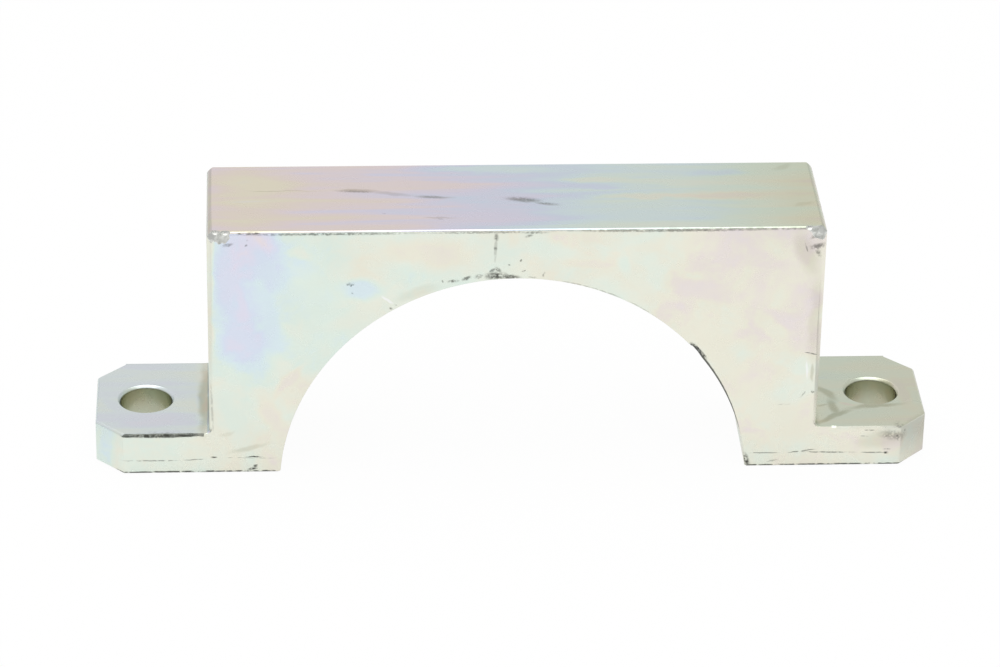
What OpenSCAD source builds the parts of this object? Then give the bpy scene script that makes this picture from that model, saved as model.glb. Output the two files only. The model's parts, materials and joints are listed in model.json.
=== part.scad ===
// Boom clamp: the upper half of a two-bolt pipe saddle, milled from one steel bar and zinc plated.
// X runs from ear to ear, Y runs along the pipe and Z is up.
// The origin lies under the middle of the clamp, on the plane of its two feet.

/* [Saddle] */
// Outside diameter of the pipe that the saddle holds
pipe_d = 133.4; // [100:0.1:170]
// How far the pipe's centre lies below the feet, which leaves room to tighten the bolts
saddle_drop = 4.6; // [0:0.1:15]
// Depth of the clamp along the pipe
depth = 41; // [25:0.5:80]

/* [Block] */
// Thickness of metal above the crown of the saddle
crown_t = 15.5; // [8:0.5:40]
// Width of each foot, from the saddle's mouth to the side of the block
leg_w = 20; // [12:0.5:40]

/* [Ears] */
// Length of each ear, from the side of the block to its tip
ear_len = 32.5; // [28:0.5:60]
// Thickness of the ears
ear_t = 13; // [8:0.5:25]
// Size of the 45 degree corners that are cut off the ears
ear_corner = 7.8; // [3:0.1:12]
// Radius left by the cutter between an ear and the side of the block
root_r = 1.5; // [0.5:0.1:4]

/* [Bolt holes] */
// Diameter of the bolt holes
bolt_d = 14.5; // [9:0.5:18]
// Distance from an ear's tip to the middle of its bolt hole
bolt_inset = 14.2; // [12:0.1:17]

/* [Edge breaks] */
// Chamfer on the long top edges of the block
top_break = 1; // [0.2:0.1:2]
// Chamfer on the short top edges, at the ends of the block
end_break = 1.5; // [0.2:0.1:3]
// Chamfer on the upright edges of the block at the front
front_upright_break = 1.3; // [0.2:0.1:3]
// Chamfer on the upright edges of the block at the back
back_upright_break = 2; // [0.2:0.1:3]
// Chamfer on the top edges round the tips of the ears
ear_break = 0.7; // [0.2:0.1:1.5]
// Chamfer on the front and back top edges of the ears
ear_side_break = 0.3; // [0.1:0.1:1.5]
// Chamfer round the bottom of the feet
foot_break = 0.6; // [0.2:0.1:1.5]
// Chamfer on the saddle's rim at the front and the back
rim_break = 0.5; // [0.2:0.1:1.5]
// Chamfer along the saddle's mouth, on the bottom of the feet
mouth_break = 0.8; // [0.2:0.1:1.5]
// Countersink at both ends of the bolt holes
bolt_break = 1; // [0.2:0.1:1.5]

/* [Filed edges] */
// Height of the flat filed on the front top edge of the left ear
left_file = 1.4; // [0.4:0.1:3]
// Height of the flat filed on the front top edge of the right ear
right_file = 1.2; // [0.4:0.1:3]
// Angle at which the left flat leans back from upright
left_file_lean = 20; // [5:1:45]
// Angle at which the right flat leans back from upright
right_file_lean = 8; // [5:1:45]
// Length left unfiled beside the block, where the file can't reach
file_gap = 1.6; // [0.5:0.1:6]

/* [Wear] */
// Width of the facet knocked off the left top corner at the front
left_knock_w = 6.4; // [1:0.1:10]
// How far that facet reaches back along the end of the block
left_knock_d = 1.3; // [0.5:0.1:5]
// Height of that facet
left_knock_h = 4.2; // [1:0.1:10]
// Width of the facet knocked off the right top corner at the front
right_knock_w = 6.6; // [1:0.1:10]
// How far that facet reaches back along the end of the block
right_knock_d = 1.4; // [0.5:0.1:5]
// Height of that facet
right_knock_h = 5.4; // [1:0.1:10]
// Depth of the nick in the front rim of the saddle
nick_depth = 0.9; // [0.2:0.1:2]
// Radius of the hollow that the nick leaves
nick_r = 6; // [3:0.5:12]
// Angle of the nick round the saddle, up from the right foot
nick_angle = 40; // [20:1:160]

/* [Hidden] */
$fn = 96;

saddle_r = pipe_d / 2;
mouth_half = sqrt(saddle_r * saddle_r - saddle_drop * saddle_drop);
block_w = 2 * (mouth_half + leg_w);
height = saddle_r - saddle_drop + crown_t;
clamp_len = block_w + 2 * ear_len;
bolt_x = clamp_len / 2 - bolt_inset;

// Width across the 45 degree faces of the ears
ear_span = (clamp_len + depth - 2 * ear_corner) / sqrt(2);

// Width across the block's upright chamfers, and how far their middle lies off the clamp's own
upright_breaks = front_upright_break + back_upright_break;
upright_span = (block_w + depth - upright_breaks) / sqrt(2);
upright_shift = (front_upright_break - back_upright_break) / 2;

// Length that passes right through the clamp in any direction
through = 2 * (clamp_len + depth + height);

// Outline of a bar from z0 to z1, with its top and bottom edges broken
function bar_outline(w, z0, z1, top, foot) = concat(
    foot > 0
        ? [[-w / 2, z0 + foot], [-w / 2 + foot, z0], [w / 2 - foot, z0], [w / 2, z0 + foot]]
        : [[-w / 2, z0], [w / 2, z0]],
    top > 0
        ? [[w / 2, z1 - top], [w / 2 - top, z1], [-w / 2 + top, z1], [-w / 2, z1 - top]]
        : [[w / 2, z1], [-w / 2, z1]]);

// A long bar with that outline, turned about Z: what several bars share has all its edges broken
module bar(turn, w, z0, z1, top, foot)
    rotate([90, 0, turn])
        linear_extrude(through, center = true)
            polygon(bar_outline(w, z0, z1, top, foot));

// The low plate that the ears and feet are left from
module base_plate()
    intersection() {
        bar(0, clamp_len, 0, ear_t, ear_break, foot_break);
        bar(90, depth, 0, ear_t, ear_side_break, foot_break);
        bar(45, ear_span, 0, ear_t, ear_break, foot_break);
        bar(-45, ear_span, 0, ear_t, ear_break, foot_break);
    }

// The upright block, which starts inside the plate so that the two are one piece
module upright_block()
    intersection() {
        bar(0, block_w, ear_t / 2, height, end_break, 0);
        bar(90, depth, ear_t / 2, height, top_break, 0);
        for (turn = [45, -45])
            translate([0, upright_shift, 0])
                bar(turn, upright_span, ear_t / 2, height, 0, 0);
    }

// The cutter's radius in the corner between an ear and the block
module root_fillet(side)
    translate([side * block_w / 2, upright_shift, ear_t])
        rotate([90, 0, 0])
            linear_extrude(depth - upright_breaks, center = true)
                difference() {
                    square(2 * root_r, center = true);
                    translate([side * root_r, root_r]) circle(root_r);
                }

// The round seat for the pipe, with its rims and its mouth broken
module saddle_cut() {
    translate([0, 0, -saddle_drop])
        for (turn = [90, -90])
            rotate([turn, 0, 0]) {
                cylinder(r = saddle_r, h = depth);
                translate([0, 0, depth / 2 - rim_break])
                    cylinder(r1 = saddle_r, r2 = saddle_r + 2 * rim_break, h = 2 * rim_break);
            }
    for (side = [-1, 1])
        translate([side * mouth_half, 0, 0])
            rotate([0, 45, 0])
                cube([mouth_break * sqrt(2), 2 * depth, mouth_break * sqrt(2)], center = true);
}

// One bolt hole with both of its mouths countersunk
module bolt_hole(side)
    translate([side * bolt_x, 0, 0]) {
        translate([0, 0, -ear_t / 2]) cylinder(d = bolt_d, h = 2 * ear_t);
        translate([0, 0, ear_t - bolt_break])
            cylinder(r1 = bolt_d / 2, r2 = bolt_d / 2 + 2 * bolt_break, h = 2 * bolt_break);
        translate([0, 0, -bolt_break])
            cylinder(r1 = bolt_d / 2 + 2 * bolt_break, r2 = bolt_d / 2, h = 2 * bolt_break);
    }

// The flat that a file left along the front top edge of an ear, up to the block
module filed_edge(side, drop, lean)
    translate([side * (block_w / 2 + file_gap + ear_len / 2), -depth / 2, ear_t - drop])
        rotate([-lean, 0, 0])
            translate([-ear_len / 2, -depth, 0])
                cube([ear_len, depth, 2 * drop]);

// A knocked top corner at the front: a facet with its own leg on each of the three edges that meet there
module corner_knock(side, w, d, h) {
    corner_off = 1 / norm([1 / w, 1 / d, 1 / h]);
    translate([side * block_w / 2, -depth / 2, height])
        rotate([0, -asin(corner_off / h), atan2(-1 / d, side / w)])
            translate([depth / 2 - corner_off, 0, 0])
                cube(depth, center = true);
}

// A nick in the front rim of the saddle, hollowed like the mark of a blunt tool
module rim_nick() {
    off_rim = (nick_r - nick_depth) / sqrt(2);
    translate([0, -depth / 2, -saddle_drop])
        rotate([0, -nick_angle, 0])
            translate([saddle_r - off_rim, -off_rim, 0])
                sphere(nick_r);
}

module clamp_body()
    color([0.84, 0.86, 0.81])
        difference() {
            union() {
                base_plate();
                upright_block();
                root_fillet(-1);
                root_fillet(1);
            }
            saddle_cut();
            bolt_hole(-1);
            bolt_hole(1);
            filed_edge(-1, left_file, left_file_lean);
            filed_edge(1, right_file, right_file_lean);
            corner_knock(-1, left_knock_w, left_knock_d, left_knock_h);
            corner_knock(1, right_knock_w, right_knock_d, right_knock_h);
            rim_nick();
        }

clamp_body();
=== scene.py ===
"""Boom clamp: the upper half of a two-bolt pipe saddle, milled from one steel bar and zinc plated.

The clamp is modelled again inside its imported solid, with broken edges, filed ears, knocked corners
and dents, and dressed in zinc plate with the rainbow film that clear passivation leaves. It stands on
a white floor under one soft lamp, seen as in the photograph.
"""

from __future__ import annotations

import json
import logging
import math
from collections.abc import Callable, Iterator
from contextlib import contextmanager
from dataclasses import dataclass
from enum import Enum
from typing import Any

import bmesh
import bpy
from bpy.types import Material, Node, NodeSocket, NodeTree, Object
from mathutils import Euler, Matrix, Vector


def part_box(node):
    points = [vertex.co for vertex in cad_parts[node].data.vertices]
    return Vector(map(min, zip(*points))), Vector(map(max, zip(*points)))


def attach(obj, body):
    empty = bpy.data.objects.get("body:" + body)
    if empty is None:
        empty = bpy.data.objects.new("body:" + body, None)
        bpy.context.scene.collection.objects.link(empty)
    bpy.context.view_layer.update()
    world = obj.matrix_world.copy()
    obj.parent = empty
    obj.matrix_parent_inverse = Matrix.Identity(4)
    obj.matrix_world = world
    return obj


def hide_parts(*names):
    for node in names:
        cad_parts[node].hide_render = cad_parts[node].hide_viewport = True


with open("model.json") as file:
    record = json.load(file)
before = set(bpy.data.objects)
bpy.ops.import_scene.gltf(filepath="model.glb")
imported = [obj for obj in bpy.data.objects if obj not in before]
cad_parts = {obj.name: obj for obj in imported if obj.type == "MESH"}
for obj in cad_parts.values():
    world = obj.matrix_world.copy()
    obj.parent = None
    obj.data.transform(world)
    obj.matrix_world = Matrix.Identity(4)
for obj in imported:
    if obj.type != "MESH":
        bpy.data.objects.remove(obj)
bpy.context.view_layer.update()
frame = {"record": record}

log = logging.getLogger("boom_clamp")

MM = 0.001
PER_MM = 1 / MM
NEAR = 0.05 * MM

Colour = tuple[float, float, float, float]
Point = tuple[float, float]


def linear(hex_colour: str) -> Colour:
    """Turn an sRGB colour into linear light.

    Args:
        hex_colour: Six hex digits, two each for red, green and blue.

    Returns:
        Red, green and blue in linear light, and an alpha of 1.
    """
    channels = [int(hex_colour[i : i + 2], 16) / 255 for i in (0, 2, 4)]
    light = [c / 12.92 if c <= 0.04045 else ((c + 0.055) / 1.055) ** 2.4 for c in channels]
    return (light[0], light[1], light[2], 1.0)


def first_output(node: Node) -> NodeSocket:
    """Return the first output of a node that is in use."""
    return next(output for output in node.outputs if output.enabled)


def add_node(tree: NodeTree, kind: str, inputs: dict[Any, Any], **settings: Any) -> Node:
    """Add a node with its settings, values and links.

    Args:
        tree: The node tree that gets the node.
        kind: The node's type, without the ShaderNode that all of them start with.
        inputs: What goes into each socket, by name or number: a socket, a node whose first output
            is meant, or a plain value.
        **settings: Values for the node's own properties.

    Returns:
        The new node.
    """
    node = tree.nodes.new("ShaderNode" + kind)
    for name, value in settings.items():
        setattr(node, name, value)
    for socket, value in inputs.items():
        if isinstance(value, Node):
            value = first_output(value)
        if isinstance(value, NodeSocket):
            tree.links.new(value, node.inputs[socket])
        else:
            node.inputs[socket].default_value = value
    return node


def fill_ramp(node: Node, stops: list[tuple[float, Colour]]) -> None:
    """Give a colour ramp its stops.

    Args:
        node: The ramp.
        stops: A position from 0 to 1 and a colour for each stop, in order.
    """
    elements = node.color_ramp.elements
    while len(elements) < len(stops):
        elements.new(1.0)
    for element, (position, colour) in zip(elements, stops):
        element.position = position
        element.color = colour


def activate(piece: Object) -> None:
    """Select one piece alone, and make it the active one.

    Args:
        piece: The piece.
    """
    bpy.ops.object.select_all(action="DESELECT")
    piece.select_set(True)
    bpy.context.view_layer.objects.active = piece


@contextmanager
def edit_mode(piece: Object) -> Iterator[None]:
    """Open one piece alone in edit mode, and go back to object mode afterwards.

    Args:
        piece: The mesh to edit.
    """
    activate(piece)
    bpy.ops.object.mode_set(mode="EDIT")
    yield
    bpy.ops.object.mode_set(mode="OBJECT")


class Element(Enum):
    """What a selection in edit mode picks."""

    EDGE = "edges"
    FACE = "faces"


def select(piece: Object, element: Element, test: Callable[[Any], bool]) -> None:
    """Select, in edit mode, only the edges or faces that pass a test.

    Args:
        piece: The mesh that is open in edit mode.
        element: Whether edges or faces are picked.
        test: Says whether one edge or face is picked, by its place or normal.
    """
    bpy.ops.mesh.select_mode(type=element.name)
    bpy.ops.mesh.select_all(action="DESELECT")
    mesh = bmesh.from_edit_mesh(piece.data)
    for item in getattr(mesh, element.value):
        if test(item):
            item.select_set(True)
    bmesh.update_edit_mesh(piece.data)


def apply_modifier(piece: Object, kind: str, **settings: Any) -> None:
    """Add a modifier to a piece and apply it.

    Args:
        piece: The mesh that is changed.
        kind: The modifier's type.
        **settings: Values for the modifier's own properties.
    """
    modifier = piece.modifiers.new(kind.lower(), kind)
    for name, value in settings.items():
        setattr(modifier, name, value)
    activate(piece)
    bpy.ops.object.modifier_apply(modifier=modifier.name)


def cut_away(piece: Object, cutter: Object) -> None:
    """Cut one shape out of a piece, and remove the cutter.

    Args:
        piece: The mesh that loses metal.
        cutter: The closed shape that is taken out of it. Its material stays on the cut faces.
    """
    apply_modifier(
        piece, "BOOLEAN", operation="DIFFERENCE", solver="EXACT", material_mode="TRANSFER", object=cutter
    )
    bpy.data.objects.remove(cutter, do_unlink=True)


class Face(Enum):
    """A face of the clamp, with the two axes that places on it are given on."""

    FRONT = "X and Z on the front"
    TOP = "X and Y on the top of the block"
    EAR = "X and Y on the top of the ears"


class Kind(Enum):
    """How a mark was made, which sets how it looks. Some marks of each kind are painted shade, shadow or
    dark reflection instead, as noted in MARKS.
    """

    STAIN = "thin dried film, soft at its edges"
    RUBBED = "rubbed spot or scratch that shows clean metal"
    LINE = "scored line or scratch, broken into dashes"
    GRIME = "dark dirt, broken into grains"


class Lay(Enum):
    """How a mark lies on the film, with what the Mix node calls it."""

    OVER = "MIX"
    TINT = "MULTIPLY"


@dataclass(frozen=True)
class Spot:
    """A long oval on a face, from one point to another. Places and sizes are in millimetres."""

    start: Point
    end: Point
    width: float
    strength: float


@dataclass(frozen=True)
class FilmPatch(Spot):
    """An oval where the film has a thickness of its own, on the scale of FILM_COLOURS."""

    thickness: float


@dataclass(frozen=True)
class MarkLook:
    """How one kind of mark lies on the metal. Sizes are in millimetres.

    Its outline strays in waves of a size and a reach, and full is the share of its width that it covers
    fully. A mark with a grain fades out where a noise of that size is low, between two levels.
    """

    colour: str
    lay: Lay
    stray: Point
    full: float
    grain: float = 0.0
    grain_detail: int = 2
    grain_levels: Point = (0.0, 1.0)


# A thin film's colours as it thickens: straw, pink, violet, blue, green, then the paler second order
FILM_COLOURS = (
    (0.00, "EEEBE2"),
    (0.08, "F1EACC"),
    (0.16, "F1E2D3"),
    (0.24, "F0DFE4"),
    (0.31, "E2DEF8"),
    (0.39, "D4E2FC"),
    (0.47, "D7EFF8"),
    (0.56, "E1F4E8"),
    (0.65, "EBF3E3"),
    (0.74, "F2EED8"),
    (0.81, "EFE3DC"),
    (0.87, "EDE0E5"),
    (0.93, "E8E3F1"),
    (1.00, "E2F1EC"),
)

# Film thickness along X high on the upright faces: millimetres from the middle, and thickness
UPPER_FILM = (
    (-119, 0.45),
    (-112, 0.62),
    (-90, 0.64),
    (-87, 0.72),
    (-85.5, 0.70),
    (-84.5, 0.46),
    (-82, 0.39),
    (-79, 0.36),
    (-74, 0.345),
    (-68, 0.43),
    (-60, 0.54),
    (-45, 0.62),
    (-20, 0.67),
    (10, 0.68),
    (40, 0.71),
    (62, 0.77),
    (86, 0.79),
    (119, 0.72),
)

# The same near the feet
LOWER_FILM = (
    (-119, 0.55),
    (-116.5, 0.47),
    (-114.5, 0.48),
    (-113, 0.63),
    (-90, 0.65),
    (-60, 0.69),
    (60, 0.70),
    (119, 0.72),
)

# The same on the level faces, where the bath drained off along the bar
LEVEL_FILM = (
    (-119, 0.48),
    (-98, 0.44),
    (-91, 0.50),
    (-87.2, 0.70),
    (-86.7, 0.12),
    (-85, 0.19),
    (-76, 0.12),
    (-58, 0.21),
    (-30, 0.27),
    (0, 0.36),
    (28, 0.48),
    (55, 0.56),
    (74, 0.66),
    (86, 0.70),
    (92, 0.60),
    (119, 0.72),
)

FILM_PATCHES = {
    Face.FRONT: (
        FilmPatch((-82, 72), (-80, 50), 7, 0.8, 0.36),
        FilmPatch((-77.5, 60), (-76, 49), 5, 0.8, 0.31),
        FilmPatch((-74.5, 74), (-66, 59), 8, 0.7, 0.43),
        FilmPatch((-70.5, 58), (-68, 40), 8, 0.8, 0.45),
        FilmPatch((-80, 45), (-72, 42), 8, 0.8, 0.385),
        FilmPatch((-80, 35), (-69, 34), 6, 0.6, 0.47),
        FilmPatch((-63, 71), (-58, 69.5), 5, 0.35, 0.84),
        FilmPatch((-61, 66), (-52, 43), 14, 0.7, 0.56),
        FilmPatch((-48, 60), (-39, 58.5), 9, 1, 0.46),
        FilmPatch((-55, 46), (-36, 57), 7, 0.6, 0.68),
        FilmPatch((-69, 24), (-59, 35), 4, 0.7, 0.82),
        FilmPatch((-83, 28), (-77, 12), 9, 0.7, 0.58),
        FilmPatch((-73, 26), (-66, 14), 8, 0.6, 0.83),
        FilmPatch((-38, 71), (-14, 70), 14, 0.7, 0.83),
        FilmPatch((0, 73), (17, 69.5), 7, 0.7, 0.58),
        FilmPatch((15, 67.5), (26, 66), 4, 0.5, 0.84),
        FilmPatch((29, 69), (30, 63), 5, 0.9, 0.58),
        FilmPatch((43, 61), (61, 55), 9, 0.7, 0.86),
        FilmPatch((29, 55), (49, 55), 6, 0.6, 0.74),
        FilmPatch((27, 63), (38, 57), 6, 0.6, 0.70),
        FilmPatch((49, 49), (64, 30), 10, 0.9, 0.74),
        FilmPatch((70, 51), (80, 45.5), 7, 0.7, 0.85),
        FilmPatch((67, 50), (78, 38), 9, 0.5, 0.62),
        FilmPatch((67, 35), (81, 28), 6, 0.5, 0.82),
        FilmPatch((66, 26), (84, 8), 15, 0.8, 0.735),
        FilmPatch((105, 6), (111, 8), 9, 0.5, 0.92),
    ),
    Face.TOP: (
        FilmPatch((-81, 7), (-60, 7), 11, 1, 0.085),
        FilmPatch((-85, -9), (-66, -10.5), 9, 0.7, 0.15),
        FilmPatch((-55, 15), (-42, 15), 8, 0.8, 0.25),
        FilmPatch((-43, 7), (-18, 8), 9, 0.7, 0.23),
        FilmPatch((-32, 17), (20, 16.5), 7, 0.7, 0.54),
        FilmPatch((-26, -2), (0, -3), 5, 0.35, 0.50),
        FilmPatch((-24, -13), (12, -12.5), 9, 0.8, 0.31),
        FilmPatch((13, 9.5), (34, 9.5), 5, 0.7, 0.68),
        FilmPatch((13, 5), (34, 4.5), 3, 0.7, 0.37),
        FilmPatch((18, -0.5), (60, -1.5), 5, 0.7, 0.78),
        FilmPatch((15, -12.5), (61, -12), 9, 0.8, 0.49),
        FilmPatch((50, 13.5), (67, 13.5), 6, 0.8, 0.41),
        FilmPatch((44, -1), (76, -0.5), 7, 0.8, 0.81),
    ),
    Face.EAR: (
        FilmPatch((-113, -15), (-99, -13.5), 7, 0.6, 0.33),
        FilmPatch((-116, -1), (-112, -6.5), 6, 0.7, 0.40),
        FilmPatch((-112, 11), (-98, 16), 8, 0.7, 0.52),
        # Painted reflection: the pink tint of the block's wall on the left ear's top beside it
        FilmPatch((-91, 2), (-89, -7), 3, 0.3, 0.24),
        FilmPatch((92.5, 10), (97.5, 8.5), 7, 0.9, 0.54),
        FilmPatch((95, -7), (98.5, -8.5), 2.5, 1, 0.82),
        FilmPatch((100.5, 14.5), (111, 14.5), 8, 0.6, 0.70),
        FilmPatch((113, 8.5), (115, -11.5), 6, 0.8, 0.82),
    ),
}

MARK_LOOKS = {
    Kind.STAIN: MarkLook("C9C6B8", Lay.TINT, (7, 1.6), 0.3),
    Kind.RUBBED: MarkLook("F8FAFA", Lay.OVER, (2.5, 0.25), 0.4),
    Kind.LINE: MarkLook("63655F", Lay.OVER, (2.5, 0.25), 0.6, 1.6, 2, (0.34, 0.54)),
    Kind.GRIME: MarkLook("45453F", Lay.OVER, (1.2, 0.35), 0.2, 0.7, 3, (0.30, 0.56)),
}

MARKS = {
    Kind.STAIN: {
        Face.FRONT: (
            Spot((-34, 55.5), (-22.5, 60.5), 5, 0.2),
            Spot((-82, 6), (-69, 10.5), 2, 0.35),
            Spot((-84, 12.5), (-79, 14), 1.5, 0.2),
            Spot((79, 74), (83, 64), 8, 0.3),
            Spot((84.5, 62), (84.5, 32), 5, 0.25),
            Spot((100, 8), (110, 9), 8, 0.3),
            Spot((84.2, 34), (84.8, 28), 1.5, 0.5),
        ),
        Face.TOP: (
            Spot((-51, 4), (-37, 3), 2.8, 0.6),
            Spot((-41, 3), (-28, 1), 2.6, 0.4),
            Spot((-29, 0.6), (-16, -0.9), 2.2, 0.5),
            Spot((-2, -2.2), (7, -3), 3.6, 0.6),
            Spot((5, -4.2), (13, -5.6), 1.8, 0.6),
            Spot((-26, -12.6), (-17, -13.6), 1.3, 0.4),
            Spot((-78, 4.6), (-52, 3.6), 0.6, 0.4),
            Spot((76, 15), (80, 18), 3, 0.25),
            Spot((79, -8), (84, -5), 3, 0.2),
        ),
        Face.EAR: (
            Spot((88.5, 4), (94.5, -6), 3.4, 0.6),
            Spot((86.5, -19), (98.5, -10), 3.8, 0.65),
            Spot((96, -10), (114, -8), 3.6, 0.6),
            Spot((92.5, -5), (93.5, -14), 4.6, 0.65),
            Spot((87.5, -9), (92, -8), 1.6, 0.4),
            # Painted dark reflection of the block's wall along the root of the left ear
            Spot((-88, 24), (-88, -24), 5, 0.7),
        ),
    },
    Kind.RUBBED: {
        Face.FRONT: (
            Spot((-38, 57), (-34.5, 54.5), 1.1, 0.8),
            Spot((82.8, 35), (83.2, 28.5), 0.9, 0.7),
        ),
    },
    Kind.LINE: {
        Face.FRONT: (
            Spot((-112.5, 4.4), (-94.5, 4.3), 0.5, 0.6),
            Spot((-94.5, 4.4), (-87.5, 4.7), 0.4, 0.6),
            Spot((-84, 5.2), (-67, 4.7), 0.35, 0.4),
            Spot((67, 4.6), (77, 4.5), 0.45, 0.6),
            Spot((78, 4.4), (87.5, 5.6), 0.5, 0.7),
            Spot((82, 4.7), (99.5, 4.4), 0.5, 0.7),
            Spot((99.5, 4.3), (107, 4.2), 0.5, 0.7),
            Spot((-6.1, 77), (-6.3, 67), 1, 0.3),
            Spot((80.4, 72.6), (81.4, 69.7), 0.6, 0.5),
            Spot((82, 37.6), (86, 36.6), 0.5, 0.7),
            Spot((100.4, 11.7), (103.8, 11.6), 0.5, 0.6),
            Spot((99.4, 9.7), (102, 9.7), 0.5, 0.4),
            # Painted contact shadow along the bottom edges of both feet
            Spot((-132, 0.4), (-46, 0.4), 1.2, 1),
            Spot((46, 0.4), (132, 0.4), 1.1, 1),
            # Painted shade on the top front edge: grey in its dented stretch on the left, and dimming its
            # highlight along the right half
            Spot((-78.5, 77.1), (-71.5, 77.1), 1, 0.8),
            Spot((0, 77.1), (112, 77.1), 1, 0.45),
            # Dark filed flat on the left ear: bare filed steel, and a painted dark reflection of the room
            # behind the camera
            Spot((-113, 12.35), (-89, 12.35), 1.2, 0.9),
            # Painted dark reflection low on the left front upright edge
            Spot((-85.5, 13), (-86, 30), 0.8, 0.3),
            # Painted dark reflection along the right half of the saddle's front rim, of the shadowed floor
            # under the arch
            Spot((12, 61.4), (21.5, 59), 0.5, 0.4),
            Spot((20, 59.5), (30.5, 55.3), 0.5, 0.4),
            Spot((31, 55), (40.5, 48.9), 0.5, 0.3),
            Spot((81.5, 22.5), (83, 25), 0.5, 0.4),
            Spot((75, 20.4), (79, 20.7), 0.4, 0.25),
        ),
    },
    Kind.GRIME: {
        Face.FRONT: (
            Spot((-6.1, 76.4), (-6, 74.4), 1.6, 0.5),
            Spot((-6.2, 72), (-6.2, 71.5), 1.2, 0.5),
            Spot((-7.8, 64.2), (-6, 65.6), 1.4, 0.6),
            Spot((-6, 65.6), (-5, 64.6), 1.7, 0.7),
            Spot((-8.4, 63), (-3.4, 63.2), 3.4, 0.9),
            Spot((-5, 62.9), (0.8, 62.5), 2.2, 0.8),
            Spot((-11.5, 62.8), (-10, 63.1), 1.8, 0.5),
            Spot((-2.4, 66.6), (-2.1, 66.5), 0.7, 0.9),
            Spot((1.1, 68.2), (1, 67.6), 0.8, 0.6),
            Spot((1.4, 64.4), (2.3, 64.8), 0.7, 0.6),
            Spot((7.3, 62.9), (7.6, 64), 0.9, 0.7),
            Spot((3, 62.6), (5.5, 62.5), 0.7, 0.4),
            Spot((2.4, 75.4), (3.8, 75.8), 1.4, 0.5),
            Spot((-21, 61.8), (-20.8, 61.2), 0.7, 0.6),
            Spot((-19.3, 61.4), (-16.4, 61.6), 1.3, 0.8),
            Spot((-15.2, 61.9), (-13.2, 62.8), 1.5, 0.7),
            Spot((-34.1, 54.4), (-33.7, 54.2), 0.7, 0.7),
            Spot((-35.5, 53.1), (-35, 52.9), 0.9, 0.6),
            Spot((-46.2, 58), (-45.9, 57.8), 0.6, 0.5),
            Spot((-86.5, 5.2), (-84.4, 5.2), 0.7, 1),
            Spot((-76.6, 5.3), (-71.5, 5.3), 0.6, 1),
            Spot((-75.8, 1.2), (-73.2, 1.5), 1.2, 1),
            Spot((-74.2, 2), (-73.3, 2.6), 1.2, 0.9),
            Spot((82.4, 71.2), (86, 71.9), 2.4, 0.65),
            Spot((83.8, 70.6), (84.8, 68.6), 1.8, 0.5),
            Spot((82, 74), (83.4, 75), 1.6, 0.35),
            Spot((-82, 73.4), (-79.4, 73.8), 1.4, 0.5),
            # Dark filed flat on the left ear: bare filed steel, and a painted dark reflection of the room
            # behind the camera
            Spot((-111.5, 12.4), (-90, 12.4), 1.5, 0.9),
            Spot((105.5, 10.4), (113, 9.4), 4.4, 0.4),
            Spot((109, 12.8), (112, 12.6), 1.2, 0.5),
            Spot((84.8, 24.6), (85.2, 24.5), 0.9, 0.8),
            Spot((-75.4, 75), (-75.2, 75), 0.7, 0.5),
            Spot((-75.8, 73.2), (-75.4, 73.6), 0.8, 0.6),
            Spot((106.8, 4.2), (107.6, 4.2), 1, 1),
            Spot((106.3, 5.3), (108.6, 5.4), 0.6, 0.8),
            Spot((72.7, 1.6), (76.2, 2.2), 0.9, 0.35),
            Spot((106.6, 9.4), (107.5, 10), 1.2, 0.5),
            Spot((108.8, 11), (109.4, 11.6), 1, 0.5),
            Spot((110, 10.4), (110.4, 8.4), 1.4, 0.7),
            Spot((112.3, 11), (112.6, 10.6), 1.4, 0.5),
            # Painted shadow in the gap under the right corner of the saddle's mouth
            Spot((66.2, 4.4), (67.6, 0.4), 2.4, 1),
            # Dashes of painted dark reflection just under the top front edge's highlight
            Spot((-86, 76.75), (-20, 76.75), 1.1, 0.6),
            Spot((-32, 76.8), (14, 76.8), 0.9, 0.45),
            Spot((0, 76.7), (9, 76.6), 1.1, 0.55),
            Spot((12, 76.8), (74, 76.8), 0.9, 0.45),
            Spot((49.6, 40.8), (51.5, 38.8), 2, 1),
            Spot((51.5, 39), (54.3, 35.4), 1.6, 0.9),
        ),
        Face.TOP: (
            Spot((-50, 3.8), (-40, 3.1), 2, 0.45),
            Spot((-28, 0.3), (-19, -0.7), 2.2, 0.45),
            Spot((-2.5, -1.6), (7, -2.8), 4.2, 0.6),
            Spot((5, -4.2), (13, -5.4), 1.8, 0.5),
            Spot((-37.3, -10.1), (-36.6, -10.1), 0.8, 0.4),
            Spot((-22.5, -13.2), (-20.5, -13.8), 0.8, 0.5),
        ),
    },
}


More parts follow.
